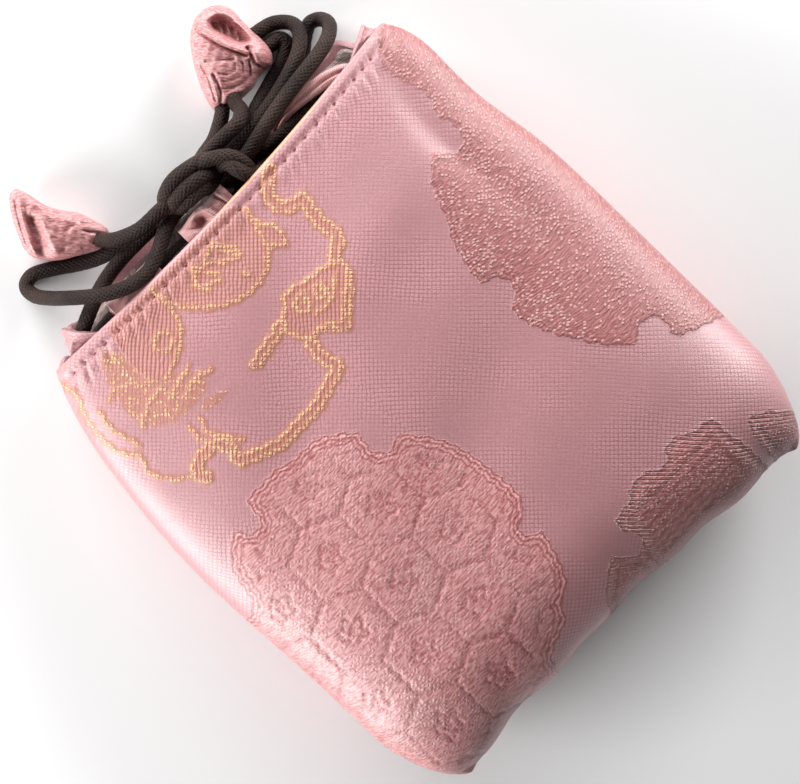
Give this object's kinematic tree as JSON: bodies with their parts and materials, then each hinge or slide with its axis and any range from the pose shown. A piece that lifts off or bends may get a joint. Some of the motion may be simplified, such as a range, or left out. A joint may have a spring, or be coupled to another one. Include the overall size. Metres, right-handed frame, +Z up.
{
  "type": "tea set storage bag",
  "caption": "Flat padded drawstring pouch of silk brocade for a travel tea set, mouth drawn by a doubled cord tied in a bow.",
  "frame": {"origin": "on the floor under the middle of the pouch, which lies on its back; the free cords of the bow and what hangs on them are left out of the box", "axes": "+X across the mouth, +Y from the base seam to the mouth, +Z up through the front panel"},
  "size_m": [0.1144, 0.1553, 0.031],
  "materials": {
    "brocade": "silk brocade, pink with woven gold, soft sheen",
    "wadding": "white polyester wadding, matt",
    "lining": "taupe satin",
    "ribbon": "pink satin ribbon",
    "cord": "dark brown braided cord, slightly glossy"
  },
  "bodies": {
    "back": {"outer_back_panel": "brocade", "back_wadding": "wadding", "back_lining": "lining", "back_loop_left": "ribbon", "back_loop_middle": "ribbon", "back_loop_right": "ribbon", "drawstring_inner_run": "cord", "drawstring_outer_run": "cord", "bow_loop_left": "cord", "bow_loop_right_long": "cord", "bow_loop_right_short": "cord", "bow_knot": "cord", "tail_left": "cord", "tail_right_upper": "cord", "tail_right_lower": "cord"},
    "front": {"outer_front_panel": "brocade", "front_wadding": "wadding", "front_lining": "lining", "front_loop_left": "ribbon", "front_loop_middle": "ribbon", "front_loop_right": "ribbon"},
    "left_bud": {"petal_left": "brocade"},
    "right_bud": {"petal_right": "brocade"}
  },
  "joints": [
    {"name": "mouth_opening", "type": "hinge", "parent": "back", "child": "front", "pos_m": [0, -0.064, 0.0141], "axis": [1, 0, 0], "range_deg": [0, 9], "deforming": ["drawstring_inner_run", "drawstring_outer_run", "bow_loop_left"]},
    {"name": "left_bud_swing", "type": "hinge", "parent": "back", "child": "left_bud", "pos_m": [-0.0226, 0.0707, 0.0055], "axis": [0, 0, -1], "range_deg": [0, 35]},
    {"name": "right_bud_swing", "type": "hinge", "parent": "back", "child": "right_bud", "pos_m": [0.0158, 0.0722, 0.005], "axis": [0, 0, 1], "range_deg": [0, 32]}
  ]
}
